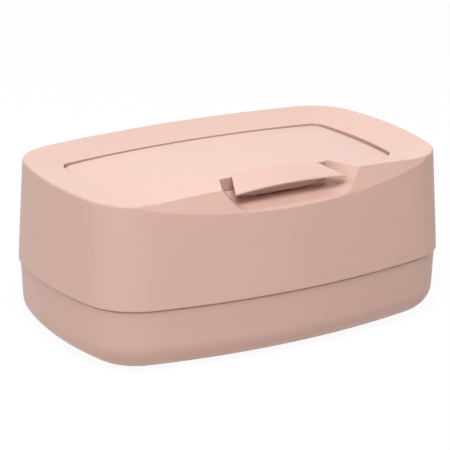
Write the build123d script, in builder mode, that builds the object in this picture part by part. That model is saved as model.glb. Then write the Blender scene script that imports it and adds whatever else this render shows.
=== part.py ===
from build123d import *
import math
import os

os.makedirs("parts", exist_ok=True)

# A wipes box: a rounded tub, a hood over its rim, a flush lid with a push tab, and a loose weight plate.
# Millimetres, +Z up. The origin is on the ground under the middle of the box, and the front faces -Y.

# Overall form
length = 220.0
width = 143.0
tub_depth = 34.0
rim_height = 55.3
foot_reach = 1.0
wall = 2.2
front_bow = 370.0
back_bow = 462.0
side_bow = 184.0
corner_radius = 32.0
hood_draft = 3.3
hem_round = 0.8
rim_round = 1.2
rim_round_steps = 3
tub_draft = 2.7
tub_step = 1.1
tub_wall = 2.5
tub_round = 14.6

# Dished frame and the opening that the lid fills
frame_side = 23.0
frame_front = 23.5
frame_back = 21.0
frame_dip = 4.3
frame_tilt = 0.86
opening_side_bow = 227.0
opening_front_bow = 345.0
opening_back_bow = 438.0
opening_corner = 8.0
hand_side = 16.0
hand_front = 14.0
hand_back = 4.6
hand_corner = 14.0

# Ribs under the frame: two across each end and four behind the lid
frame_rib = 1.4
frame_rib_depth = 13.0
frame_rib_front_y = -12.0
frame_rib_rear_y = 20.0
frame_rib_near_x = 24.0
frame_rib_far_x = 60.0

# Brow: the front strip of the frame rises to an arch, cut off in front by a leaning facet
brow_depth = 19.8
brow_setback = 9.5
brow_side_setback = 30.0
brow_back_rise = 3.6
brow_back_fall = 3.7
brow_front_rise = 2.8
brow_front_side_rise = 0.4
facet_lean = 25.0
facet_bow = 555.0
facet_foot = 44.4
# The brow's crest is eased in steps: how far behind its front edge, and how far down
crest_steps = ((0.8, 0.0), (0.27, 0.16), (-3.2, 3.2))

# Lid
lid_gap = 1.2
lid_drop = 1.0
lid_back_crown = 0.4
lid_round = 0.5
lid_skin = 2.4
lid_rim = 5.7
lid_rim_wall = 2.0
land_gap = 1.0
gasket_middle = 1.8
gasket_width = 3.4
gasket_height = 2.0
gasket_gap = 0.1
gasket_channel = 0.8
gasket_channel_wall = 1.0
seal_rib_inset = 1.0
seal_rib_width = 1.6
seal_rib_height = 1.6
bumper_diameter = 5.0
bumper_pocket = 0.6
bumper_gap = 0.3
bumper_x_inset = 8.5
bumper_y_inset = 6.0

# Finger recess: straight sided at its back, wide open with round lower corners at its front
recess_overrun = 5.6
recess_half_back = 31.0
recess_back_corner = 2.0
recess_half_floor = 32.1
recess_half_mouth = 61.5
recess_mouth_corner = 19.0
recess_floor_fall = 0.185
recess_top = 10.0
recess_run_out = 6.0
# The recess's lip is eased in steps: how far behind the facet, and how much wider than the recess
recess_lip_steps = ((3.0, -0.3), (1.3, 0.1), (0.4, 0.6), (-0.6, 1.6), (-1.6, 3.2))

# Push tab: rises above the rim at its back and front edges, measured at the sides and the middle
tab_half_back = 25.0
tab_half_front = 33.5
tab_front_reach = 13.3
tab_thickness = 1.6
tab_gap = 0.6
tab_round = 0.5
tab_back_side_rise = 2.9
tab_back_middle_rise = 4.7
tab_front_side_rise = -1.1
tab_front_middle_rise = 0.7

skirt_half = 26.0
skirt_setback = 3.2
skirt_thickness = 1.4
skirt_gap = 1.9

# The tab's pivot and the latch, placed from the opening's front edge and its height
pivot_ahead = 3.7
pivot_below = 6.5
well_back = 9.6
tab_pin_diameter = 2.5
tab_pin_boss = 6.2
tab_pin_boss_length = 4.2
latch_half = 15.0
latch_front = 4.6
latch_below = 4.2
tab_leg_out = 13.0
tab_leg_in = 6.0
tab_leg_front = 3.0
tab_leg_back = 2.4
tab_bridge = 3.0
nose_half = 9.0
nose_thickness = 1.5
nose_gap = 0.2
nose_bite = 0.6
catch_drop = 3.6
catch_foot = 1.2
catch_half = 8.0
catch_setback = 0.4
catch_thickness = 1.8
spring_wire = 0.7
spring_outer = 5.0
spring_end_gap = 1.0
spring_leg_thinning = 0.1

# Lid hinge: a pin at each rear corner of the lid
hinge_inset = 17.0
hinge_below = 2.4
hinge_side = 4.8
hinge_pin_diameter = 3.0
hinge_pin_in = 9.0
hinge_pin_out = 6.0
hinge_pin_end_gap = 0.3
hinge_boss = 6.4
hinge_boss_length = 7.5
hinge_block = 6.0
hinge_block_below = 1.2
running_fit = 0.05
pin_chamfer = 0.3
trough_margin = 0.7
trough_front = 4.5

# Tub rim, seal and feet
lip_height = 5.0
lip_clearance = 0.15
seam_gap = 0.5
seam_rebate = 0.7
seal_thickness = 1.4
seal_flange = 3.0
foot_diameter = 14.0
foot_fit = 0.15
foot_pocket = 0.8
foot_chamfer = 0.4
foot_x = 72.0
foot_y = 34.0

# Loose weight plate
plate_length = 150.0
plate_width = 84.0
plate_corner = 16.0
plate_height = 7.0
plate_cover_thickness = 1.8
plate_cover_edge = 0.5
plate_wall = 1.6
slot_length = 64.0
slot_width = 18.0
weight_length = 30.0
weight_width = 60.0
weight_thickness = 3.0
weight_fit = 0.2
weight_frame = 1.1
weight_chamfer = 0.3
weight_x = 52.0
screw_diameter = 2.6
screw_boss = 5.2
screw_head = 4.6
screw_head_height = 1.2
screw_head_fit = 0.1
screw_length = 4.8
screw_hole = 5.8
screw_inset = 7.0

# How far a form runs into its neighbour to join it, and how far a cut runs clear of what it cuts
lap = 1.0
clear = 40.0

# Places worked out from the sizes above
seam_z = foot_reach + tub_depth
rim_z = seam_z + rim_height
rim_inset = rim_height * math.tan(math.radians(hood_draft))
opening_z = rim_z - frame_dip
opening_half = length / 2 - rim_inset - frame_side
opening_front = -(width / 2 - rim_inset - frame_front)
opening_back = width / 2 - rim_inset - frame_back
opening_mid = (opening_front + opening_back) / 2
brow_front_y = -(width / 2 - brow_setback)
brow_back_y = brow_front_y + brow_depth
brow_half_span = length / 2 - brow_side_setback
lid_low_z = opening_z - lid_drop - lid_rim
land_z = lid_low_z - land_gap
lid_back_side_z = opening_z - opening_back * math.tan(math.radians(frame_tilt))
lid_front_y = opening_front + lid_gap
catch_z = rim_z + brow_back_rise - lid_drop - lid_rim - catch_drop
catch_back_y = lid_front_y + catch_setback
pivot_y = opening_front - pivot_ahead
pivot_z = opening_z - pivot_below
tab_pin_length = 2 * (latch_half + wall)
tab_front_y = pivot_y - tab_front_reach
recess_back_y = opening_front + recess_overrun
recess_mouth_y = -width / 2 - recess_run_out
nose_z = catch_z + catch_foot + nose_gap
hinge_y = opening_back - hinge_inset
hinge_z = lid_back_side_z - lid_drop - hinge_below
hinge_x = opening_half - hinge_side
trough_z = hinge_z - hinge_inset - trough_margin
gasket_z = land_z + seal_rib_height + gasket_gap
gasket_top = gasket_z + gasket_height
front_corner_y = opening_front + opening_front_bow - math.sqrt(opening_front_bow**2 - opening_half**2)
front_corner_x = opening_half - opening_side_bow + math.sqrt(
    opening_side_bow**2 - (front_corner_y - opening_mid) ** 2
)
bumper_x = front_corner_x - bumper_x_inset
bumper_y = front_corner_y + bumper_y_inset
lip_outer = wall + lip_height * math.tan(math.radians(hood_draft)) + lip_clearance
lip_inner = tub_step + tub_wall
plate_z = foot_reach + tub_wall
cover_z = plate_z + plate_height


def between(first, second, share):
    """Value that lies a share of the way from the first to the second, or past either."""
    return first + (second - first) * share


def bowed_rectangle(plane, half_length, half_width, bows, corner, mid_y=0.0):
    """Rectangle with four outward-bowed sides and rounded corners; bows are side, front and back radii."""
    side, front, back = bows
    with BuildSketch(plane) as outline:
        with Locations((0, mid_y - half_width + front)):
            Circle(front)
        with Locations((0, mid_y + half_width - back)):
            Circle(back, mode=Mode.INTERSECT)
        with Locations((side - half_length, mid_y)):
            Circle(side, mode=Mode.INTERSECT)
        with Locations(Location((half_length - side, mid_y), 180)):
            Circle(side, mode=Mode.INTERSECT)
        fillet(outline.vertices(), corner)
    return outline.sketch


def body_outline(z, inset):
    """Plan of the box at the seam, drawn in by an inset."""
    bows = (side_bow - inset, front_bow - inset, back_bow - inset)
    return bowed_rectangle(
        Plane.XY.offset(z), length / 2 - inset, width / 2 - inset, bows, corner_radius - inset
    )


def opening_outline(plane, grow):
    """Plan of the lid opening, grown all round."""
    bows = (opening_side_bow + grow, opening_front_bow + grow, opening_back_bow + grow)
    half_width = (opening_back - opening_front) / 2 + grow
    return bowed_rectangle(plane, opening_half + grow, half_width, bows, opening_corner + grow, opening_mid)


def arch_z(x, half_span, side_z, middle_z):
    """Height at x of an arc that has the side height at its half span and the middle height at x = 0."""
    rise = middle_z - side_z
    radius = (half_span**2 + rise**2) / (2 * rise)
    return middle_z - radius + math.sqrt(radius**2 - x**2)


def arch_section(y, middle_z, side_z, low_z):
    """Upright section across the box, flat below, its arch set by the heights at the middle and the side."""
    half = length / 2
    end_z = arch_z(half, brow_half_span, side_z, middle_z)
    with BuildSketch(Plane.XZ.offset(-y)) as section:
        with BuildLine():
            Polyline((half, end_z), (half, low_z), (-half, low_z), (-half, end_z))
            ThreePointArc((-half, end_z), (0, middle_z), (half, end_z))
        make_face()
    return section.sketch


def dish(drop):
    """What is cleared above the dished frame, lowered by a drop."""
    reach = 1.25
    low_plane = Plane.XY.offset(opening_z - drop).rotated((-frame_tilt, 0, 0))
    high = body_outline(opening_z - drop + frame_dip * reach, rim_inset - frame_side * (reach - 1))
    with BuildPart() as cleared:
        loft([opening_outline(low_plane, 0), high], ruled=True)
        extrude(high, amount=clear)
    return cleared.part


def brow(drop):
    """Raised front strip of the frame, arched across the box, eased over at its crest, lowered by a drop."""
    sections = []
    for behind, eased in ((1.5 * brow_depth, 0.0), *crest_steps):
        y = brow_front_y + behind
        share = (brow_back_y - y) / brow_depth
        middle_z = between(rim_z + brow_back_rise, rim_z + brow_front_rise, share) - drop - eased
        side_z = between(rim_z - brow_back_fall, rim_z + brow_front_side_rise, share) - drop - eased
        sections.append(arch_section(y, middle_z, side_z, seam_z))
    with BuildPart() as strip:
        loft(sections, ruled=True)
        extrude(opening_outline(Plane.XY.offset(seam_z), drop), amount=rim_height + clear, mode=Mode.SUBTRACT)
    return strip.part


def facet(shift):
    """What is cleared in front of the leaning facet, moved by a shift."""
    lean = math.radians(facet_lean)
    wall_front = width / 2 - facet_foot * math.tan(math.radians(hood_draft))
    front_y = shift / math.cos(lean) - wall_front - recess_run_out * math.tan(lean)
    with BuildSketch(Plane.XY.offset(seam_z + facet_foot - recess_run_out)) as ahead:
        with Locations((0, front_y)):
            Rectangle(length + clear, 2 * clear)
        with Locations((0, front_y + facet_bow)):
            Circle(facet_bow, mode=Mode.SUBTRACT)
    with BuildPart() as cleared:
        extrude(ahead.sketch, amount=clear, dir=(0, math.sin(lean), math.cos(lean)))
    return cleared.part


def recess_section(y, half_low, half_high, floor_z, corner):
    """Upright section of the finger recess."""
    top_z = rim_z + recess_top
    with BuildSketch(Plane.XZ.offset(-y)) as section:
        with BuildLine():
            Polyline(
                (-half_high, top_z), (-half_low, floor_z), (half_low, floor_z), (half_high, top_z), close=True
            )
        make_face()
        fillet(section.vertices().group_by(Axis.Y)[0], corner)
    return section.sketch


def recess_floor(y):
    """Height of the finger recess's floor at a distance along the box."""
    return opening_z - recess_floor_fall * (recess_back_y - y)


def recess(grow):
    """Finger recess, or the same form grown by a wall."""
    back_z = recess_floor(recess_back_y) - grow
    mouth_z = recess_floor(recess_mouth_y) - grow
    half_back = recess_half_back + grow
    half_floor = recess_half_floor + grow
    with BuildPart() as scoop:
        loft(
            [
                recess_section(recess_back_y, half_back, half_back, back_z, recess_back_corner + grow),
                recess_section(
                    recess_mouth_y, half_floor, recess_half_mouth + grow, mouth_z, recess_mouth_corner + grow
                ),
            ],
            ruled=True,
        )
    return scoop.part


def recess_half(y, z):
    """Half width of the finger recess at a distance along the box and a height."""
    share = (recess_back_y - y) / (recess_back_y - recess_mouth_y)
    low = between(recess_half_back, recess_half_floor, share)
    high = between(recess_half_back, recess_half_mouth, share)
    return between(low, high, (z - recess_floor(y)) / (rim_z + recess_top - recess_floor(y)))


def recess_lip():
    """What is cleared to ease the lip of the recess: leaning sections that widen to the front."""
    lean = math.tan(math.radians(facet_lean))
    wall_y = facet_foot * math.tan(math.radians(hood_draft)) - width / 2
    facet_y = wall_y + (recess_floor(wall_y) - seam_z - facet_foot) * lean
    sections = []
    for behind, grow in recess_lip_steps:
        y = facet_y + behind
        z = recess_floor(y)
        low_half = recess_half(y, z)
        rim_half = recess_half(y + (rim_z - z) * lean, rim_z)
        high_half = between(low_half, rim_half, (rim_z + recess_top - z) / (rim_z - z)) + grow
        high_s = (rim_z + recess_top - z) / math.cos(math.radians(facet_lean))
        share = (recess_back_y - y) / (recess_back_y - recess_mouth_y)
        with BuildSketch(Plane(origin=(0, y, z), x_dir=(1, 0, 0), z_dir=(0, -1, lean))) as section:
            with BuildLine():
                Polyline(
                    (-high_half, high_s),
                    (-low_half - grow, -grow),
                    (low_half + grow, -grow),
                    (high_half, high_s),
                    close=True,
                )
            make_face()
            corner = between(recess_back_corner, recess_mouth_corner, share) + grow
            fillet(section.vertices().group_by(Axis.Y)[0], corner)
        sections.append(section.sketch)
    with BuildPart() as lip:
        loft(sections, ruled=True)
    return lip.part


def lid_pocket(grow):
    """Space that the lid sinks into, with the trough its rear edge swings through and the latch well."""
    trough_low = trough_z - grow
    well_low = pivot_z - latch_below - grow
    well_front_y = pivot_y - latch_front - grow
    well_back_y = opening_front + well_back
    with BuildPart() as pocket:
        extrude(opening_outline(Plane.XY.offset(land_z - grow), grow), amount=clear)
        with BuildSketch(Plane.XY.offset(trough_low)) as trough:
            add(opening_outline(Plane.XY, grow))
            with Locations((0, hinge_y - trough_front - grow)):
                Rectangle(length, width, align=(Align.CENTER, Align.MIN), mode=Mode.INTERSECT)
        extrude(trough.sketch, amount=land_z - trough_low)
        with BuildSketch(Plane.XY.offset(well_low)) as well:
            with Locations((0, (well_front_y + well_back_y) / 2)):
                Rectangle(2 * (latch_half + grow), well_back_y - well_front_y)
        extrude(well.sketch, amount=opening_z - well_low)
    return pocket.part


def hood_block(inset, rounding):
    """Drafted block that the hood is cut from, its rim rounded and drawn in above the rim for the brow."""
    sections = [body_outline(seam_z, inset)]
    for step in range(rim_round_steps + 1):
        angle = math.pi / 2 * step / rim_round_steps
        below_rim = rounding * (1 - math.sin(angle))
        drawn_in = rim_inset - below_rim * math.tan(math.radians(hood_draft)) + rounding * (1 - math.cos(angle))
        sections.append(body_outline(rim_z - below_rim, inset + drawn_in))
    sections.append(body_outline(rim_z + recess_top, inset + rim_inset + rounding + recess_top / 2))
    with BuildPart() as filled:
        loft(sections, ruled=True)
    return filled.part


def above_frame(drop):
    """What is cleared above the dished frame and its brow, both lowered by a drop."""
    with BuildPart() as cleared:
        add(dish(drop))
        add(brow(drop), mode=Mode.SUBTRACT)
    return cleared.part


def hood_outside():
    """Outer form of the hood, with its hem rounded and the recess's lip eased."""
    with BuildPart() as form:
        add(hood_block(0, rim_round))
        fillet(form.edges().group_by(Axis.Z)[0], hem_round)
        add(above_frame(0), mode=Mode.SUBTRACT)
        add(facet(0), mode=Mode.SUBTRACT)
        add(recess(0), mode=Mode.SUBTRACT)
        add(recess_lip(), mode=Mode.SUBTRACT)
    return form.part


def hood_inside(inset):
    """What is hollow in the hood, up to the ribs under its frame."""
    with BuildPart() as form:
        add(hood_block(inset, rim_round))
        add(above_frame(inset), mode=Mode.SUBTRACT)
        add(facet(inset), mode=Mode.SUBTRACT)
        add(recess(inset), mode=Mode.SUBTRACT)
        add(lid_pocket(inset), mode=Mode.SUBTRACT)
        add(frame_ribs(), mode=Mode.SUBTRACT)
    return form.part


def under_lid(drop):
    """Everything below the lid's crowned top, lowered by a drop."""
    back_y = opening_back + lap
    front_y = opening_front - 4 * lap
    share = (back_y - front_y) / (back_y - brow_back_y)
    flat_z = lid_back_side_z - drop
    side_z = between(flat_z, rim_z - brow_back_fall - drop, share)
    middle_z = between(flat_z + lid_back_crown, rim_z + brow_back_rise - drop, share)
    with BuildPart() as below:
        loft(
            [
                arch_section(back_y, flat_z + lid_back_crown, flat_z, seam_z),
                arch_section(front_y, middle_z, side_z, seam_z),
            ],
            ruled=True,
        )
    return below.part


def tub_form(inset, above=0.0):
    """Filled form of the tub up to the seam, or past it, drawn in by a wall."""
    slope = math.tan(math.radians(tub_draft))
    low_z = foot_reach + inset
    low_inset = tub_step + inset + (seam_z - low_z) * slope
    high_inset = tub_step + inset - above * slope
    round_limit = 0.49 * (corner_radius - low_inset + inset)
    with BuildPart() as form:
        extrude(body_outline(seam_z + above, high_inset), amount=low_z - seam_z - above, taper=tub_draft)
        fillet(form.edges().group_by(Axis.Z)[0], min(tub_round, round_limit) - inset)
    return form.part


def disc_x(x, y, z, diameter):
    """Disc that faces along the box."""
    with BuildSketch(Plane.YZ.offset(x)) as disc:
        with Locations((y, z)):
            Circle(diameter / 2)
    return disc.sketch


def block(x_ends, y_ends, z_ends):
    """Block between two places on each axis, given in either order."""
    lows = tuple(min(ends) for ends in (x_ends, y_ends, z_ends))
    sizes = tuple(max(ends) - min(ends) for ends in (x_ends, y_ends, z_ends))
    with BuildPart() as filled:
        with Locations(lows):
            Box(*sizes, align=(Align.MIN, Align.MIN, Align.MIN))
    return filled.part


def frame_ribs():
    """Thin upright ribs between the hood's wall and the lid's pocket, under the frame."""
    low_z = rim_z - frame_rib_depth
    with BuildPart() as ribs:
        for direction in (-1, 1):
            for y in (frame_rib_front_y, frame_rib_rear_y):
                x_ends = (direction * opening_half, direction * length / 2)
                add(block(x_ends, (y - frame_rib / 2, y + frame_rib / 2), (low_z, rim_z)))
            for x in (frame_rib_near_x, frame_rib_far_x):
                x_ends = (direction * x - frame_rib / 2, direction * x + frame_rib / 2)
                add(block(x_ends, (opening_mid, width / 2), (low_z, rim_z)))
    return ribs.part


def hand_opening(plane, grow):
    """Plan of the opening that the hand goes through."""
    front = opening_front + hand_front
    back = hinge_y - trough_front - wall - hand_back
    with BuildSketch(plane) as hole:
        with Locations((0, (front + back) / 2)):
            RectangleRounded(
                2 * (opening_half - hand_side + grow), back - front + 2 * grow, hand_corner + grow
            )
    return hole.sketch


def hand_ring(z, outer, inner):
    """Flat ring round the hand opening, between two growths of its plan."""
    with BuildSketch(Plane.XY.offset(z)) as ring:
        add(hand_opening(Plane.XY, outer))
        add(hand_opening(Plane.XY, inner), mode=Mode.SUBTRACT)
    return ring.sketch


def body_ring(z, outer, inner):
    """Flat ring that follows the box's plan, between two insets."""
    with BuildSketch(Plane.XY.offset(z)) as ring:
        add(body_outline(0, outer))
        add(body_outline(0, inner), mode=Mode.SUBTRACT)
    return ring.sketch


with BuildPart() as tub:
    add(tub_form(0))
    extrude(body_ring(seam_z - seam_gap, 0, tub_step + seam_rebate), amount=seam_gap, mode=Mode.SUBTRACT)
    extrude(body_outline(seam_z - lap, lip_outer), amount=lip_height + lap)
    add(tub_form(tub_wall, lip_height + lap), mode=Mode.SUBTRACT)
    with BuildSketch(Plane.XY.offset(foot_reach)):
        with GridLocations(2 * foot_x, 2 * foot_y, 2, 2):
            Circle(foot_diameter / 2 + foot_fit)
    extrude(amount=foot_pocket, mode=Mode.SUBTRACT)
tub.part.label = "tub"
export_step(tub.part, "parts/tub.step")

# The seal lies on the tub's lip and hangs over its inner side
with BuildPart() as tub_seal:
    extrude(body_ring(seam_z + lip_height, lip_outer, lip_inner + seal_thickness), amount=seal_thickness)
    extrude(
        body_ring(seam_z + lip_height - seal_flange, lip_inner, lip_inner + seal_thickness), amount=seal_flange
    )
tub_seal.part.label = "tub_seal"
export_step(tub_seal.part, "parts/tub_seal.step")

for side, x in (("left", -foot_x), ("right", foot_x)):
    for end, y in (("front", -foot_y), ("rear", foot_y)):
        with BuildPart() as foot:
            with BuildSketch(Plane.XY):
                with Locations((x, y)):
                    Circle(foot_diameter / 2)
            extrude(amount=foot_reach + foot_pocket)
            chamfer(foot.edges().group_by(Axis.Z)[0], foot_chamfer)
        foot.part.label = f"foot_{end}_{side}"
        export_step(foot.part, f"parts/foot_{end}_{side}.step")

with BuildPart() as hood:
    add(hood_outside())
    add(hood_inside(wall), mode=Mode.SUBTRACT)
    for direction in (-1, 1):
        extrude(disc_x(direction * hinge_x, hinge_y, hinge_z, hinge_boss), amount=direction * hinge_boss_length)
        extrude(
            disc_x(direction * (latch_half + wall / 4), pivot_y, pivot_z, tab_pin_boss),
            amount=direction * tab_pin_boss_length,
        )
    add(lid_pocket(0), mode=Mode.SUBTRACT)
    extrude(hand_ring(land_z, seal_rib_inset + seal_rib_width, seal_rib_inset), amount=seal_rib_height)
    extrude(hand_opening(Plane.XY.offset(land_z + lap), 0), amount=-wall - 2 * lap, mode=Mode.SUBTRACT)
    with BuildSketch(Plane.XY.offset(land_z)):
        with Locations((-bumper_x, bumper_y), (bumper_x, bumper_y)):
            Circle(bumper_diameter / 2)
    extrude(amount=-bumper_pocket, mode=Mode.SUBTRACT)
    pin_bore = hinge_pin_diameter + 2 * running_fit
    for direction in (-1, 1):
        extrude(
            disc_x(direction * (hinge_x - lap), hinge_y, hinge_z, pin_bore),
            amount=direction * (hinge_pin_out + hinge_pin_end_gap + lap),
            mode=Mode.SUBTRACT,
        )
    extrude(
        disc_x(-tab_pin_length / 2, pivot_y, pivot_z, tab_pin_diameter), amount=tab_pin_length, mode=Mode.SUBTRACT
    )
hood.part.label = "hood"
export_step(hood.part, "parts/hood.step")

lid_plane = Plane.XY.offset(seam_z)
lid_reach = rim_height + clear

with BuildPart() as lid_hollow:
    extrude(opening_outline(lid_plane, -lid_gap - lid_rim_wall), amount=lid_reach)
    add(under_lid(lid_drop + lid_skin), mode=Mode.INTERSECT)

# What stands under the lid's skin: the gasket's channel, the blocks that hold the hinge pins, and the catch
with BuildPart() as lid_fittings:
    gasket_outer = gasket_middle + gasket_width / 2
    gasket_inner = gasket_middle - gasket_width / 2
    channel_z = gasket_top - gasket_channel
    extrude(
        hand_ring(channel_z, gasket_outer + gasket_channel_wall, gasket_inner - gasket_channel_wall), amount=clear
    )
    extrude(hand_ring(channel_z, gasket_outer, gasket_inner), amount=gasket_channel, mode=Mode.SUBTRACT)
    extrude(
        hand_ring(gasket_top + gasket_channel_wall, gasket_outer, gasket_inner), amount=clear, mode=Mode.SUBTRACT
    )
    for direction in (-1, 1):
        add(
            block(
                (direction * (hinge_x - hinge_pin_in), direction * hinge_x),
                (hinge_y - hinge_block / 2, hinge_y + hinge_block / 2),
                (hinge_z - hinge_pin_diameter / 2 - hinge_block_below, rim_z),
            )
        )
    extrude(opening_outline(lid_plane, -lid_gap), amount=lid_reach, mode=Mode.INTERSECT)
    add(block((-catch_half, catch_half), (catch_back_y, catch_back_y + catch_thickness), (catch_z, rim_z)))
    add(
        block(
            (-catch_half, catch_half), (catch_back_y - catch_foot, catch_back_y), (catch_z, catch_z + catch_foot)
        )
    )
    add(under_lid(lid_drop + lid_skin / 2), mode=Mode.INTERSECT)

with BuildPart() as lid:
    extrude(opening_outline(lid_plane, -lid_gap), amount=lid_reach)
    add(under_lid(lid_drop), mode=Mode.INTERSECT)
    fillet(lid.faces().sort_by(Axis.Z)[-1].edges(), lid_round)
    extrude(body_outline(seam_z, 0), amount=lid_low_z - seam_z, mode=Mode.SUBTRACT)
    add(lid_hollow.part, mode=Mode.SUBTRACT)
    add(lid_fittings.part)
    for direction in (-1, 1):
        extrude(
            disc_x(direction * (hinge_x - hinge_pin_in), hinge_y, hinge_z, hinge_pin_diameter),
            amount=direction * (hinge_pin_in + hinge_side),
            mode=Mode.SUBTRACT,
        )
lid.part.label = "lid"
export_step(lid.part, "parts/lid.step")

with BuildPart() as lid_gasket:
    extrude(hand_ring(gasket_z, gasket_outer, gasket_inner), amount=gasket_height)
lid_gasket.part.label = "lid_gasket"
export_step(lid_gasket.part, "parts/lid_gasket.step")

# Each bumper stands in a pocket of the hood's land and ends just short of the lid's skin
with BuildPart() as lid_skin_under:
    extrude(opening_outline(Plane.XY.offset(land_z - bumper_pocket), -lid_gap), amount=clear)
    add(under_lid(lid_drop + lid_skin + bumper_gap), mode=Mode.INTERSECT)

for name, direction in (("left", -1), ("right", 1)):
    with BuildPart() as bumper:
        with BuildSketch(Plane.XY.offset(land_z - bumper_pocket)):
            with Locations((direction * bumper_x, bumper_y)):
                Circle(bumper_diameter / 2)
        extrude(amount=clear)
        add(lid_skin_under.part, mode=Mode.INTERSECT)
    bumper.part.label = f"bumper_{name}"
    export_step(bumper.part, f"parts/bumper_{name}.step")

for name, direction in (("left", -1), ("right", 1)):
    with BuildPart() as hinge_pin:
        extrude(
            disc_x(direction * (hinge_x - hinge_pin_in), hinge_y, hinge_z, hinge_pin_diameter),
            amount=direction * (hinge_pin_in + hinge_pin_out),
        )
        chamfer(hinge_pin.edges(), pin_chamfer)
    hinge_pin.part.label = f"hinge_pin_{name}"
    export_step(hinge_pin.part, f"parts/hinge_pin_{name}.step")

with BuildPart() as tab_pin:
    extrude(disc_x(-tab_pin_length / 2, pivot_y, pivot_z, tab_pin_diameter), amount=tab_pin_length)
    chamfer(tab_pin.edges(), pin_chamfer)
tab_pin.part.label = "tab_pin"
export_step(tab_pin.part, "parts/tab_pin.step")


def tab_arch(y):
    """Half width of the push tab, and its top's heights at the side and the middle, at a distance along the box."""
    back_y = lid_front_y - tab_gap
    share = (back_y - y) / (back_y - tab_front_y)
    half = between(tab_half_back, tab_half_front, share)
    side_z = rim_z + between(tab_back_side_rise, tab_front_side_rise, share)
    middle_z = rim_z + between(tab_back_middle_rise, tab_front_middle_rise, share)
    return half, side_z, middle_z


def tab_section(y):
    """Arched band of the push tab at a distance along the box."""
    half, side_z, middle_z = tab_arch(y)
    low_side_z = side_z - tab_thickness
    with BuildSketch(Plane.XZ.offset(-y)) as section:
        with BuildLine():
            ThreePointArc((-half, side_z), (0, middle_z), (half, side_z))
            Line((half, side_z), (half, low_side_z))
            ThreePointArc((half, low_side_z), (0, middle_z - tab_thickness), (-half, low_side_z))
            Line((-half, low_side_z), (-half, side_z))
        make_face()
    return section.sketch


def tab_skirt():
    """Wall across the tab's underside, from half way up its band to just above the recess's floor."""
    skirt_y = tab_front_y + skirt_setback
    half, side_z, middle_z = tab_arch(skirt_y)
    low_z = recess_floor(skirt_y) + skirt_gap
    edge_z = arch_z(skirt_half, half, side_z, middle_z) - tab_thickness / 2
    with BuildPart() as skirt:
        with BuildSketch(Plane.XZ.offset(-skirt_y)):
            with BuildLine():
                Polyline(
                    (skirt_half, edge_z), (skirt_half, low_z), (-skirt_half, low_z), (-skirt_half, edge_z)
                )
                ThreePointArc((-skirt_half, edge_z), (0, middle_z - tab_thickness / 2), (skirt_half, edge_z))
            make_face()
        extrude(amount=-skirt_thickness)
    return skirt.part


with BuildPart() as push_tab:
    loft([tab_section(recess_back_y), tab_section(tab_front_y)], ruled=True)
    fillet(push_tab.edges().group_by(Axis.Y)[0], tab_round)
    add(tab_skirt())
    extrude(opening_outline(lid_plane, tab_gap - lid_gap), amount=lid_reach, mode=Mode.SUBTRACT)
    for direction in (-1, 1):
        near = direction * tab_leg_in
        far = direction * tab_leg_out
        add(
            block(
                (near, far),
                (pivot_y - tab_leg_front, pivot_y + tab_leg_back),
                (pivot_z, rim_z + tab_front_middle_rise + tab_thickness),
            )
        )
        extrude(disc_x(near, pivot_y, pivot_z, 2 * tab_leg_back), amount=far - near)
    add(
        block(
            (-tab_leg_out, tab_leg_out),
            (pivot_y - spring_outer / 2 + spring_wire, pivot_y + tab_leg_back),
            (nose_z, nose_z + tab_bridge),
        )
    )
    add(
        block(
            (-nose_half, nose_half),
            (pivot_y, catch_back_y - catch_foot + nose_bite),
            (nose_z, nose_z + nose_thickness),
        )
    )
    extrude(
        disc_x(-tab_leg_out, pivot_y, pivot_z, tab_pin_diameter + 2 * running_fit),
        amount=2 * tab_leg_out,
        mode=Mode.SUBTRACT,
    )
push_tab.part.label = "push_tab"
export_step(push_tab.part, "parts/push_tab.step")

# A torsion spring round the pin, its coils a sleeve: one leg bears on the tab's bridge, one on the well's front
with BuildPart() as tab_spring:
    coil_half = tab_leg_in - spring_end_gap
    coil_radius = (spring_outer - spring_wire) / 2
    leg_x = coil_half - spring_wire / 2
    extrude(disc_x(-coil_half, pivot_y, pivot_z, spring_outer), amount=2 * coil_half)
    extrude(
        disc_x(-coil_half, pivot_y, pivot_z, spring_outer - 2 * spring_wire),
        amount=2 * coil_half,
        mode=Mode.SUBTRACT,
    )
    with BuildSketch(Plane.XY.offset(pivot_z)):
        with Locations((-leg_x, pivot_y - coil_radius)):
            Circle((spring_wire - spring_leg_thinning) / 2)
    extrude(amount=nose_z + tab_bridge / 2 - pivot_z)
    with BuildSketch(Plane.XZ.offset(-pivot_y)):
        with Locations((leg_x, pivot_z - coil_radius)):
            Circle((spring_wire - spring_leg_thinning) / 2)
    extrude(amount=latch_front)
tab_spring.part.label = "tab_spring"
export_step(tab_spring.part, "parts/tab_spring.step")


def plate_plan(inset):
    """Plan of the weight plate with its slot, drawn in by an inset."""
    with BuildSketch() as plan:
        RectangleRounded(plate_length - 2 * inset, plate_width - 2 * inset, plate_corner - inset)
        SlotOverall(slot_length + 2 * inset, slot_width + 2 * inset, mode=Mode.SUBTRACT)
    return plan.sketch


def weight_plan(grow):
    """Plan of the two weights, grown all round."""
    with BuildSketch() as plan:
        with Locations((-weight_x, 0), (weight_x, 0)):
            Rectangle(weight_length + 2 * grow, weight_width + 2 * grow)
    return plan.sketch


def screw_discs(z, diameter):
    """Discs at the plate's four screws."""
    with BuildSketch(Plane.XY.offset(z)) as discs:
        with GridLocations(plate_length - 2 * screw_inset, plate_width - 2 * screw_inset, 2, 2):
            Circle(diameter / 2)
    return discs.sketch


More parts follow.
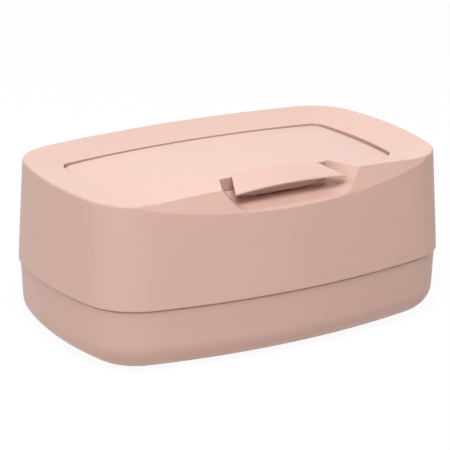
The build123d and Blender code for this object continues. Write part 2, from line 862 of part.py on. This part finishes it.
with BuildPart() as plate_base:
    with BuildSketch(Plane.XY.offset(plate_z)):
        add(plate_plan(0))
    extrude(amount=plate_height)
    with BuildSketch(Plane.XY.offset(plate_z + plate_wall)):
        add(plate_plan(plate_wall))
        add(screw_discs(0, screw_boss), mode=Mode.SUBTRACT)
        add(weight_plan(weight_fit + weight_frame), mode=Mode.SUBTRACT)
        add(weight_plan(weight_fit))
    extrude(amount=plate_height, mode=Mode.SUBTRACT)
    extrude(screw_discs(cover_z, screw_diameter), amount=-screw_hole, mode=Mode.SUBTRACT)
plate_base.part.label = "plate_base"
export_step(plate_base.part, "parts/plate_base.step")

with BuildPart() as plate_cover:
    cover_top_z = cover_z + plate_cover_thickness
    with BuildSketch(Plane.XY.offset(cover_z)):
        add(plate_plan(0))
    extrude(amount=plate_cover_thickness)
    fillet(plate_cover.edges().group_by(Axis.Z)[-1], plate_cover_edge)
    extrude(
        screw_discs(cover_top_z, screw_head + 2 * screw_head_fit), amount=-screw_head_height, mode=Mode.SUBTRACT
    )
    extrude(screw_discs(cover_top_z, screw_diameter), amount=-plate_cover_thickness, mode=Mode.SUBTRACT)
plate_cover.part.label = "plate_cover"
export_step(plate_cover.part, "parts/plate_cover.step")

for name, x in (("left", -weight_x), ("right", weight_x)):
    with BuildPart() as weight:
        with BuildSketch(Plane.XY.offset(plate_z + plate_wall)):
            with Locations((x, 0)):
                Rectangle(weight_length, weight_width)
        extrude(amount=weight_thickness)
        chamfer(weight.edges(), weight_chamfer)
    weight.part.label = f"weight_{name}"
    export_step(weight.part, f"parts/weight_{name}.step")

with BuildPart() as plate_screws:
    head_z = cover_z + plate_cover_thickness - screw_head_height
    extrude(screw_discs(head_z, screw_head), amount=screw_head_height)
    extrude(screw_discs(head_z, screw_diameter), amount=-screw_length)
plate_screws.part.label = "plate_screws"
export_step(plate_screws.part, "parts/plate_screws.step")
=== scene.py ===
import math

import bmesh
import bpy
from mathutils import Matrix, Vector


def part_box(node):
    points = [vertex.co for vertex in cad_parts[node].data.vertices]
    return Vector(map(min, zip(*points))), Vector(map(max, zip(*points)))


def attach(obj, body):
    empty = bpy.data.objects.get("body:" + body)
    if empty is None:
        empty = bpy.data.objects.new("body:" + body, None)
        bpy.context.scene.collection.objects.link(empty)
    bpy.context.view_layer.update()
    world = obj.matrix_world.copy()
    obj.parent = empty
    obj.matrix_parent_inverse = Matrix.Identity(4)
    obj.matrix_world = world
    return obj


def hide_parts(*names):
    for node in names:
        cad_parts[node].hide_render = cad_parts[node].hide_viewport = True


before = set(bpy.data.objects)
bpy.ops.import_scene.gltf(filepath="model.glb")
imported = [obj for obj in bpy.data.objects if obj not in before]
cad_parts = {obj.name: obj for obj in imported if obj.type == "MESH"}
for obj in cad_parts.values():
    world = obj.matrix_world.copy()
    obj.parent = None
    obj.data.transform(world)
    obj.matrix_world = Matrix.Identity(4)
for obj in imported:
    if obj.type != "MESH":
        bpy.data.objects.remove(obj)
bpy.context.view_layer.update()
print("Frame loaded with", len(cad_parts), "nodes")

mm = 0.001
mergeDistance = 0.001 * mm
sharpAngle = 40                     # degrees; an edge of a new piece that turns more than this stays sharp


def linearColour(hexText):
    # turns an sRGB hex value into linear light, which the shader sockets expect
    shares = [int(hexText[i:i + 2], 16) / 255 for i in (1, 3, 5)]
    return tuple(s / 12.92 if s <= 0.04045 else ((s + 0.055) / 1.055) ** 2.4 for s in shares) + (1.0,)


def addNode(tree, kind, settings=None, links=None):
    # adds one node; settings are attributes or socket values, links are sockets fed by other nodes
    node = tree.nodes.new(kind)
    for name, value in (settings or {}).items():
        if isinstance(name, str) and hasattr(node, name):
            setattr(node, name, value)
        else:
            node.inputs[name].default_value = value
    for name, output in (links or {}).items():
        tree.links.new(output, node.inputs[name])
    return node


def newMaterial(name):
    material = bpy.data.materials.new(name)
    material.use_nodes = True
    material.node_tree.nodes.clear()
    return material, material.node_tree


# Camera, at the photograph's angle

camera = {
    "azimuth": -30.95,              # degrees; the camera stands in front and to the left
    "elevation": 18.86,
    "roll": 0.27,
    "distance": 1.36915,            # metres from the target
    "target": (0, 0.0015, 0.035),   # the middle of the box, at the seam between tub and hood
    "lens": 203.13,                 # mm
    "sensor": 36,                   # mm
    "shift": (-0.00661, 0.05616),
    "clipEnd": 50,                  # metres
}


def addCamera():
    data = bpy.data.cameras.new("camera")
    data.lens = camera["lens"]
    data.sensor_width = camera["sensor"]
    data.shift_x, data.shift_y = camera["shift"]
    data.clip_end = camera["clipEnd"]
    view = bpy.data.objects.new("camera", data)
    turn = (
        Matrix.Rotation(math.radians(camera["azimuth"]), 4, "Z")
        @ Matrix.Rotation(math.radians(90 - camera["elevation"]), 4, "X")
        @ Matrix.Rotation(math.radians(camera["roll"]), 4, "Z")
    )
    back = turn.col[2].to_3d()
    view.matrix_world = Matrix.Translation(Vector(camera["target"]) + back * camera["distance"]) @ turn
    bpy.context.scene.collection.objects.link(view)
    bpy.context.scene.camera = view


addCamera()
print("Camera placed")

# Studio: a white floor, a white world and large soft lamps, each aimed at the box

studio = {
    "seenWhite": "#FFFFFF",         # of the floor and the world, to the camera and in reflections
    "floorHalf": 3.0,               # metres
    "floorAlbedo": "#D4D2D0",       # what lights the box from below
    "floorGlow": 0.94,              # share of the seen floor that no shadow darkens
    "worldTint": "#FFFFFF",         # what lights the box from all round
    "worldStrength": 0.21,
    "lampTint": "#FFFFFF",
    "lampDistance": 2.0,            # metres from the camera's target
    "lamps": {                      # azimuth from straight in front, elevation, width in metres, watts
        "keyLamp": (-30, 61, 1.2, 38.2),
        "leftLamp": (-120, 25, 1.2, 5.5),
        "frontLeftLamp": (-58, 29, 1.2, 4.5),
        "rearFill": (168, 11, 1.2, 9.0),    # low, so that it lights the back wall and hardly the top
        "glossCard": (149, 37, 2.2, 12.5),  # both cards stand behind and give the top its sheen
        "highGlossCard": (149, 58, 1.2, 6.0),
    },
}


def seenDirectly(tree):
    # 1 for rays from the camera, off gloss or through glass
    path = addNode(tree, "ShaderNodeLightPath")
    first = addNode(
        tree, "ShaderNodeMath", {"operation": "MAXIMUM"},
        {0: path.outputs["Is Camera Ray"], 1: path.outputs["Is Glossy Ray"]},
    )
    both = addNode(
        tree, "ShaderNodeMath", {"operation": "MAXIMUM"},
        {0: first.outputs[0], 1: path.outputs["Is Transmission Ray"]},
    )
    return both.outputs[0]


def addFloor():
    mesh = bmesh.new()
    bmesh.ops.create_grid(mesh, x_segments=1, y_segments=1, size=studio["floorHalf"])
    data = bpy.data.meshes.new("studioFloor")
    mesh.to_mesh(data)
    mesh.free()
    floor = bpy.data.objects.new("studioFloor", data)
    bpy.context.scene.collection.objects.link(floor)
    material, tree = newMaterial("studioFloorPaper")
    white = linearColour(studio["seenWhite"])
    lit = addNode(tree, "ShaderNodeBsdfDiffuse", {"Color": linearColour(studio["floorAlbedo"])})
    shaded = addNode(tree, "ShaderNodeBsdfDiffuse", {"Color": white})
    glow = addNode(tree, "ShaderNodeEmission", {"Color": white, "Strength": 1.0})
    seen = addNode(
        tree, "ShaderNodeMixShader", {"Fac": studio["floorGlow"]},
        {1: shaded.outputs[0], 2: glow.outputs[0]},
    )
    mixed = addNode(
        tree, "ShaderNodeMixShader", None,
        {"Fac": seenDirectly(tree), 1: lit.outputs[0], 2: seen.outputs[0]},
    )
    addNode(tree, "ShaderNodeOutputMaterial", None, {"Surface": mixed.outputs[0]})
    data.materials.append(material)


def addWorld():
    world = bpy.data.worlds.new("studioWorld")
    bpy.context.scene.world = world
    world.use_nodes = True
    tree = world.node_tree
    tree.nodes.clear()
    around = addNode(
        tree, "ShaderNodeBackground",
        {"Color": linearColour(studio["worldTint"]), "Strength": studio["worldStrength"]},
    )
    white = addNode(
        tree, "ShaderNodeBackground", {"Color": linearColour(studio["seenWhite"]), "Strength": 1.0}
    )
    mixed = addNode(
        tree, "ShaderNodeMixShader", None,
        {"Fac": seenDirectly(tree), 1: around.outputs[0], 2: white.outputs[0]},
    )
    addNode(tree, "ShaderNodeOutputWorld", None, {"Surface": mixed.outputs[0]})


def addLamp(name, azimuth, elevation, size, power):
    data = bpy.data.lights.new(name, "AREA")
    data.shape = "SQUARE"
    data.size = size
    data.energy = power
    data.color = linearColour(studio["lampTint"])[:3]
    light = bpy.data.objects.new(name, data)
    turn = (
        Matrix.Rotation(math.radians(azimuth), 4, "Z")
        @ Matrix.Rotation(math.radians(90 - elevation), 4, "X")
    )
    light.matrix_world = (
        Matrix.Translation(Vector(camera["target"]) + turn.col[2].to_3d() * studio["lampDistance"]) @ turn
    )
    light.visible_camera = False
    light.visible_diffuse = "Card" not in name      # a card shows only in gloss
    light.visible_glossy = "Fill" not in name       # a fill lights without a highlight
    bpy.context.scene.collection.objects.link(light)


addFloor()
addWorld()
for lampName, (azimuth, elevation, size, power) in studio["lamps"].items():
    addLamp(lampName, azimuth, elevation, size, power)
bpy.context.scene.view_settings.view_transform = "Standard"
print("Studio ready")

# Moulded polypropylene: a satin skin with a faint spark-eroded grain, and a slight cloudiness where it flowed.
# In a colour Mix node, sockets 6 and 7 are its two colours and output 2 is the result.

blushPlastic = {
    "colour": "#D4AEA1",
    "cloudColour": "#D0AA9D",
    "cloudSize": 45,                # mm
    "cloudDetail": 2.0,
    "grainSize": 0.55,              # mm; the real grain is about 0.1 mm, drawn coarser so that it shows
    "grainDetail": 2.0,
    "grainHeight": 0.006,           # mm
    "roughness": (0.40, 0.50),      # least and most, in patches
    "patchSize": 14,                # mm
    "patchDetail": 3.0,
    "ior": 1.49,
}


def makeMouldedPlastic(name, look, shift):
    # shift moves the pattern, in metres, so that it differs from one material to the next
    material, tree = newMaterial(name)
    place = addNode(tree, "ShaderNodeTexCoord")
    moved = addNode(tree, "ShaderNodeMapping", {"Location": (*shift, 0)}, {"Vector": place.outputs["Object"]})
    cloud = addNode(
        tree, "ShaderNodeTexNoise", {"Scale": 1 / (look["cloudSize"] * mm), "Detail": look["cloudDetail"]},
        {"Vector": moved.outputs[0]},
    )
    colour = addNode(
        tree, "ShaderNodeMix",
        {"data_type": "RGBA", 6: linearColour(look["colour"]), 7: linearColour(look["cloudColour"])},
        {0: cloud.outputs["Fac"]},
    )
    patches = addNode(
        tree, "ShaderNodeTexNoise", {"Scale": 1 / (look["patchSize"] * mm), "Detail": look["patchDetail"]},
        {"Vector": moved.outputs[0]},
    )
    roughness = addNode(
        tree, "ShaderNodeMapRange", {"To Min": look["roughness"][0], "To Max": look["roughness"][1]},
        {"Value": patches.outputs["Fac"]},
    )
    grain = addNode(
        tree, "ShaderNodeTexNoise", {"Scale": 1 / (look["grainSize"] * mm), "Detail": look["grainDetail"]},
        {"Vector": moved.outputs[0]},
    )
    bump = addNode(
        tree, "ShaderNodeBump", {"Strength": 1.0, "Distance": look["grainHeight"] * mm},
        {"Height": grain.outputs["Fac"]},
    )
    shader = addNode(
        tree, "ShaderNodeBsdfPrincipled", {"IOR": look["ior"]},
        {
            "Base Color": colour.outputs[2],
            "Roughness": roughness.outputs["Result"],
            "Normal": bump.outputs[0],
        },
    )
    addNode(tree, "ShaderNodeOutputMaterial", None, {"Surface": shader.outputs[0]})
    return material


# Silicone: soft, slightly cloudy and a little dusty, so its highlights are broad

silicone = {
    "colour": "#E6E2DC",
    "dustColour": "#D8D3CC",
    "dustSize": 6,                  # mm
    "dustDetail": 4.0,
    "roughness": (0.45, 0.62),
    "ior": 1.41,
    "subsurface": 0.15,
    "scatter": 2.0,                 # mm
}

# Rubber for the feet: duller and a little darker, and no light gets into it

footRubber = {
    "colour": "#C9BDB6",
    "dustColour": "#BBAEA7",
    "dustSize": 3,
    "dustDetail": 4.0,
    "roughness": (0.62, 0.78),
    "ior": 1.5,
    "subsurface": 0.0,
    "scatter": 1.0,
}


def makeSoftRubber(name, look):
    material, tree = newMaterial(name)
    place = addNode(tree, "ShaderNodeTexCoord")
    dust = addNode(
        tree, "ShaderNodeTexNoise", {"Scale": 1 / (look["dustSize"] * mm), "Detail": look["dustDetail"]},
        {"Vector": place.outputs["Object"]},
    )
    colour = addNode(
        tree, "ShaderNodeMix",
        {"data_type": "RGBA", 6: linearColour(look["colour"]), 7: linearColour(look["dustColour"])},
        {0: dust.outputs["Fac"]},
    )
    roughness = addNode(
        tree, "ShaderNodeMapRange", {"To Min": look["roughness"][0], "To Max": look["roughness"][1]},
        {"Value": dust.outputs["Fac"]},
    )
    shader = addNode(
        tree, "ShaderNodeBsdfPrincipled",
        {
            "IOR": look["ior"],
            "Subsurface Weight": look["subsurface"],
            "Subsurface Scale": look["scatter"] * mm,
        },
        {"Base Color": colour.outputs[2], "Roughness": roughness.outputs["Result"]},
    )
    addNode(tree, "ShaderNodeOutputMaterial", None, {"Surface": shader.outputs[0]})
    return material


# Steel, drawn through a die or cut from sheet: fine lines along one axis break up its highlights

drawnSteel = {
    "colour": "#B4B4B6",
    "lineSize": 0.15,               # mm across the lines
    "lineDetail": 2.0,
    "stretch": 40,                  # how much longer a line is than it is wide
    "lineHeight": 0.003,            # mm
    "bumpStrength": 0.6,
    "roughness": (0.24, 0.40),
}


def makeDrawnSteel(name, look):
    material, tree = newMaterial(name)
    place = addNode(tree, "ShaderNodeTexCoord")
    stretched = addNode(
        tree, "ShaderNodeMapping", {"Scale": (1 / look["stretch"], 1, 1)}, {"Vector": place.outputs["Object"]}
    )
    lines = addNode(
        tree, "ShaderNodeTexNoise", {"Scale": 1 / (look["lineSize"] * mm), "Detail": look["lineDetail"]},
        {"Vector": stretched.outputs[0]},
    )
    roughness = addNode(
        tree, "ShaderNodeMapRange", {"To Min": look["roughness"][0], "To Max": look["roughness"][1]},
        {"Value": lines.outputs["Fac"]},
    )
    bump = addNode(
        tree, "ShaderNodeBump", {"Strength": look["bumpStrength"], "Distance": look["lineHeight"] * mm},
        {"Height": lines.outputs["Fac"]},
    )
    shader = addNode(
        tree, "ShaderNodeBsdfPrincipled",
        {"Base Color": linearColour(look["colour"]), "Metallic": 1.0},
        {"Roughness": roughness.outputs["Result"], "Normal": bump.outputs[0]},
    )
    addNode(tree, "ShaderNodeOutputMaterial", None, {"Surface": shader.outputs[0]})
    return material


# Moulded ABS for the weight plate: paler and a little glossier, with the same kind of grain

platePlastic = dict(blushPlastic, colour="#E6E4E1", cloudColour="#DFDCD8", roughness=(0.34, 0.46))

materials = {
    "mouldedPolypropyleneShell": makeMouldedPlastic("mouldedPolypropyleneShell", blushPlastic, (0.0, 0.0)),
    "mouldedPolypropyleneLid": makeMouldedPlastic("mouldedPolypropyleneLid", blushPlastic, (0.31, 0.186)),
    "mouldedPolypropyleneTab": makeMouldedPlastic("mouldedPolypropyleneTab", blushPlastic, (0.57, 0.342)),
    "mouldedAbsPlate": makeMouldedPlastic("mouldedAbsPlate", platePlastic, (0.11, 0.066)),
    "mouldedSilicone": makeSoftRubber("mouldedSilicone", silicone),
    "mouldedRubberFoot": makeSoftRubber("mouldedRubberFoot", footRubber),
    "drawnSteel": makeDrawnSteel("drawnSteel", drawnSteel),
}

nodeMaterials = {
    "mouldedPolypropyleneShell": ["tub", "hood"],
    "mouldedPolypropyleneLid": ["lid"],
    "mouldedPolypropyleneTab": ["push_tab"],
    "mouldedAbsPlate": ["plate_base", "plate_cover"],
    "mouldedSilicone": ["tub_seal", "lid_gasket", "bumper_left", "bumper_right"],
    "mouldedRubberFoot": ["foot_front_left", "foot_front_right", "foot_rear_left", "foot_rear_right"],
    "drawnSteel": [
        "hinge_pin_left", "hinge_pin_right", "tab_pin", "tab_spring",
        "weight_left", "weight_right", "plate_screws",
    ],
}

for materialName, nodeNames in nodeMaterials.items():
    for nodeName in nodeNames:
        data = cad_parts[nodeName].data
        data.materials.clear()
        data.materials.append(materials[materialName])
print("Materials given to every node")


def addPiece(name, mesh, materialName, body, node):
    # makes a finished bmesh a piece that rides on a body and stands for a node of the frame
    bmesh.ops.recalc_face_normals(mesh, faces=mesh.faces)
    data = bpy.data.meshes.new(name)
    mesh.to_mesh(data)
    mesh.free()
    data.shade_smooth()
    data.set_sharp_from_angle(angle=math.radians(sharpAngle))
    data.materials.append(materials[materialName])
    piece = bpy.data.objects.new(name, data)
    bpy.context.scene.collection.objects.link(piece)
    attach(piece, body)
    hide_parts(node)


def newVerts(made):
    # the vertices among what an extrusion gives back
    return [part for part in made["geom"] if isinstance(part, bmesh.types.BMVert)]


def fillOpenEdges(mesh):
    openEdges = [edge for edge in mesh.edges if edge.is_boundary]
    if openEdges:
        bmesh.ops.holes_fill(mesh, edges=openEdges, sides=0)


# Push tab: an arched band that thins to its front edge, a wall far back under it, and the legs on the pin

pushTab = {
    "halfBack": 25.0,               # mm, half widths of the band
    "halfFront": 33.5,
    "pinToBack": 4.3,               # from the pin back to the middle of the back edge
    "backBow": 344.4,               # radius of the back edge, along the lid
    "frontDrop": 4.0,               # how far the front edge lies below the back edge
    "archDrop": 1.8,                # how far the sides lie below the middle
    "thickness": 1.6,
    "frontThickness": 0.9,
    "thinFrom": 0.7,                # share of the depth at which it starts to thin
    "bandGrid": (36, 12),           # faces across it, and from front to back
    "edgeRound": 0.32,
    "edgeSteps": 3,
    "edgeAngle": 50,                # degrees; only edges that turn more are rounded
    "wallHalf": 27.0,               # half width of the wall that hides the pin and the spring
    "wallSetback": 7.8,             # from the front edge
    "wallSweep": 2.2,               # how far its ends turn back
    "wallEndRise": 0.7,             # and how much higher they end
    "wallBend": 4,                  # more keeps the middle straight for longer
    "wallThickness": 1.2,
    "wallBottom": 10.8,             # below the band's highest point
    "wallFaces": 20,                # across it
    "legOuter": 13.1,               # half width of what is kept of the frame's tab, under the band
    "legFront": 3.05,               # how far it reaches in front of the pin
    "legTop": 3.65,                 # where it is cut, below the band's highest point
}

tabLow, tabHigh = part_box("push_tab")
pinLow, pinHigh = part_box("tab_pin")
pivot = (pinLow + pinHigh) / 2


def tabBackY(x):
    # where the back edge lies, bowed along the lid
    return pivot.y + pushTab["pinToBack"] * mm + x**2 / (2 * pushTab["backBow"] * mm)


def tabShare(y):
    # 0 at the middle of the back edge, 1 at the front edge
    return (tabBackY(0) - y) / (tabBackY(0) - tabLow.y)


def tabHalf(share):
    # half width of the band, in mm
    return pushTab["halfBack"] + (pushTab["halfFront"] - pushTab["halfBack"]) * share


def tabTop(x, y):
    # height of the band's top at a place, in metres
    share = tabShare(y)
    across = x / (tabHalf(share) * mm)
    return tabHigh.z - (pushTab["frontDrop"] * share + pushTab["archDrop"] * across**2) * mm


def makeTabBand(mesh):
    facesAcross, facesDeep = pushTab["bandGrid"]
    band = bmesh.ops.create_grid(mesh, x_segments=facesAcross, y_segments=facesDeep, size=1)
    for vert in band["verts"]:
        share = (1 - vert.co.y) / 2     # the grid starts as a square from -1 to 1
        x = vert.co.x * tabHalf(share) * mm
        y = tabBackY(x) + (tabLow.y - tabBackY(x)) * share
        vert.co = (x, y, tabTop(x, y))
    faces = list({face for vert in band["verts"] for face in vert.link_faces})
    below = bmesh.ops.extrude_face_region(mesh, geom=faces)
    for vert in newVerts(below):
        thinned = max(0, (tabShare(vert.co.y) - pushTab["thinFrom"]) / (1 - pushTab["thinFrom"]))
        change = (pushTab["frontThickness"] - pushTab["thickness"]) * thinned
        vert.co.z -= (pushTab["thickness"] + change) * mm
    bmesh.ops.recalc_face_normals(mesh, faces=mesh.faces)
    rim = [edge for edge in mesh.edges if edge.calc_face_angle(0) > math.radians(pushTab["edgeAngle"])]
    bmesh.ops.bevel(
        mesh, geom=rim, offset=pushTab["edgeRound"] * mm, segments=pushTab["edgeSteps"],
        affect="EDGES", profile=0.5, material=-1,
    )


def makeTabWall(mesh):
    wall = bmesh.ops.create_grid(mesh, x_segments=pushTab["wallFaces"], y_segments=1, size=1)
    for vert in wall["verts"]:
        x = vert.co.x * pushTab["wallHalf"] * mm
        bend = vert.co.x ** pushTab["wallBend"]
        y = tabLow.y + (pushTab["wallSetback"] + pushTab["wallSweep"] * bend) * mm
        low = tabHigh.z + (pushTab["wallEndRise"] * bend - pushTab["wallBottom"]) * mm
        high = tabTop(x, y) - pushTab["thickness"] / 2 * mm     # inside the band
        vert.co = (x, y, high if vert.co.y > 0 else low)
    faces = list({face for vert in wall["verts"] for face in vert.link_faces})
    behind = bmesh.ops.extrude_face_region(mesh, geom=faces)
    bmesh.ops.translate(mesh, verts=newVerts(behind), vec=(0, pushTab["wallThickness"] * mm, 0))


def addTabLegs(mesh):
    # the legs, the bridge and the latch nose come from the frame's own tab, cut free of its band
    legs = bmesh.new()
    legs.from_mesh(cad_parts["push_tab"].data)
    bmesh.ops.remove_doubles(legs, verts=legs.verts, dist=mergeDistance)
    outer = pushTab["legOuter"] * mm
    topZ = tabHigh.z - pushTab["legTop"] * mm
    cuts = (
        ((outer, 0, 0), (1, 0, 0)),
        ((-outer, 0, 0), (-1, 0, 0)),
        ((0, pivot.y - pushTab["legFront"] * mm, 0), (0, -1, 0)),
        ((0, 0, topZ), (0, 0, 1)),
    )
    for place, outwards in cuts:
        everything = legs.verts[:] + legs.edges[:] + legs.faces[:]
        bmesh.ops.bisect_plane(legs, geom=everything, plane_co=place, plane_no=outwards, clear_outer=True)
        fillOpenEdges(legs)
    cutMargin = 0.01 * mm
    for vert in legs.verts:
        if vert.co.z > topZ - cutMargin:
            vert.co.z += pushTab["thickness"] / 2 * mm      # the cut ends reach up into the band
    scratch = bpy.data.meshes.new("legs")
    legs.to_mesh(scratch)
    legs.free()
    mesh.from_mesh(scratch)
    bpy.data.meshes.remove(scratch)


tabMesh = bmesh.new()
makeTabBand(tabMesh)
makeTabWall(tabMesh)
addTabLegs(tabMesh)
addPiece("pushTab", tabMesh, "mouldedPolypropyleneTab", "tab", "push_tab")
print("Push tab made")

# Torsion spring round the tab's pin: close turns of wire, one leg up to the tab, one forward to the hood

tabSpring = {
    "wire": 0.7,                    # mm
    "outer": 5.0,                   # diameter of the coil
    "turns": 12.75,
    "stepsPerTurn": 24,
    "sides": 12,                    # of the wire
    "forwardLeg": 4.5,
}


def makeTabSpring():
    low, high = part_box("tab_spring")
    radius = (tabSpring["outer"] - tabSpring["wire"]) / 2 * mm
    startX = low.x + tabSpring["wire"] / 2 * mm
    endX = high.x - tabSpring["wire"] / 2 * mm
    steps = round(tabSpring["turns"] * tabSpring["stepsPerTurn"])
    mesh = bmesh.new()
    ring = bmesh.ops.create_circle(
        mesh, segments=tabSpring["sides"], radius=tabSpring["wire"] / 2 * mm,
        matrix=Matrix.Translation((startX, pivot.y - radius, pivot.z)),
    )
    firstEdges = list({edge for vert in ring["verts"] for edge in vert.link_edges})
    wound = bmesh.ops.spin(
        mesh, geom=firstEdges + ring["verts"], cent=(startX, pivot.y, pivot.z), axis=(1, 0, 0),
        dvec=((endX - startX) / steps, 0, 0), angle=tabSpring["turns"] * 2 * math.pi, steps=steps,
    )
    lastEdges = [part for part in wound["geom_last"] if isinstance(part, bmesh.types.BMEdge)]
    for edges, way in (
        (firstEdges, (0, 0, high.z - pivot.z)),
        (lastEdges, (0, -tabSpring["forwardLeg"] * mm, 0)),
    ):
        leg = bmesh.ops.extrude_edge_only(mesh, edges=edges)
        bmesh.ops.translate(mesh, verts=newVerts(leg), vec=way)
    fillOpenEdges(mesh)
    addPiece("tabSpringCoil", mesh, "drawnSteel", "hood", "tab_spring")


makeTabSpring()
print("Tab spring made")

# Four pan screws with a cross recess, in the weight plate's cover

crossScrew = {
    "profile": (                    # mm, radius and height from the top
        (1.7, 0.0), (2.1, -0.12), (2.3, -0.4), (2.3, -1.2),
        (1.3, -1.2), (1.3, -5.2), (0.6, -6.0), (0, -6.0),
    ),
    "steps": 32,
    "armHalf": 0.28,                # half the width of the recess's arms
    "armReach": 1.2,
    "recessDepth": 0.8,
    "recessTaper": 0.6,             # size at the recess's bottom, as a share of its top
    "firstTurn": 25,                # degrees
    "turnStep": 37,                 # each screw is turned this much further than the one before
}


def makeScrew():
    mesh = bmesh.new()
    verts = [mesh.verts.new((radius * mm, 0, height * mm)) for radius, height in crossScrew["profile"]]
    edges = [mesh.edges.new(pair) for pair in zip(verts, verts[1:])]
    bmesh.ops.spin(
        mesh, geom=verts + edges, cent=(0, 0, 0), axis=(0, 0, 1), angle=2 * math.pi,
        steps=crossScrew["steps"], use_merge=True,
    )
    bmesh.ops.remove_doubles(mesh, verts=mesh.verts, dist=mergeDistance)
    topRing = [edge for edge in mesh.edges if edge.is_boundary]
    half = crossScrew["armHalf"] * mm
    reach = crossScrew["armReach"] * mm
    arm = [Vector((half, half, 0)), Vector((half, reach, 0)), Vector((-half, reach, 0))]
    outline = [
        mesh.verts.new(Matrix.Rotation(math.radians(90 * quarter), 3, "Z") @ corner)
        for quarter in range(4) for corner in arm
    ]
    cross = mesh.faces.new(outline)
    bmesh.ops.triangle_fill(mesh, use_beauty=True, edges=topRing + list(cross.edges))
    sunk = bmesh.ops.extrude_face_region(mesh, geom=[cross])
    for vert in newVerts(sunk):
        vert.co.xy *= crossScrew["recessTaper"]
        vert.co.z -= crossScrew["recessDepth"] * mm
    if cross.is_valid:
        bmesh.ops.delete(mesh, geom=[cross], context="FACES_ONLY")
    data = bpy.data.meshes.new("screw")
    mesh.to_mesh(data)
    mesh.free()
    return data


def makePlateScrews():
    low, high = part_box("plate_screws")
    headRadius = max(radius for radius, height in crossScrew["profile"]) * mm
    near = low.xy + Vector((headRadius, headRadius))
    far = high.xy - Vector((headRadius, headRadius))
    corners = ((near.x, near.y), (far.x, near.y), (far.x, far.y), (near.x, far.y))
    screw = makeScrew()
    mesh = bmesh.new()
    for number, (x, y) in enumerate(corners):
        before = len(mesh.verts)
        mesh.from_mesh(screw)
        mesh.verts.ensure_lookup_table()
        added = mesh.verts[before:]
        degrees = crossScrew["firstTurn"] + crossScrew["turnStep"] * number
        turn = Matrix.Rotation(math.radians(degrees), 3, "Z")
        bmesh.ops.rotate(mesh, verts=added, cent=(0, 0, 0), matrix=turn)
        bmesh.ops.translate(mesh, verts=added, vec=(x, y, high.z))
    bpy.data.meshes.remove(screw)
    addPiece("plateCrossScrews", mesh, "drawnSteel", "plate", "plate_screws")


makePlateScrews()
print("Plate screws made")
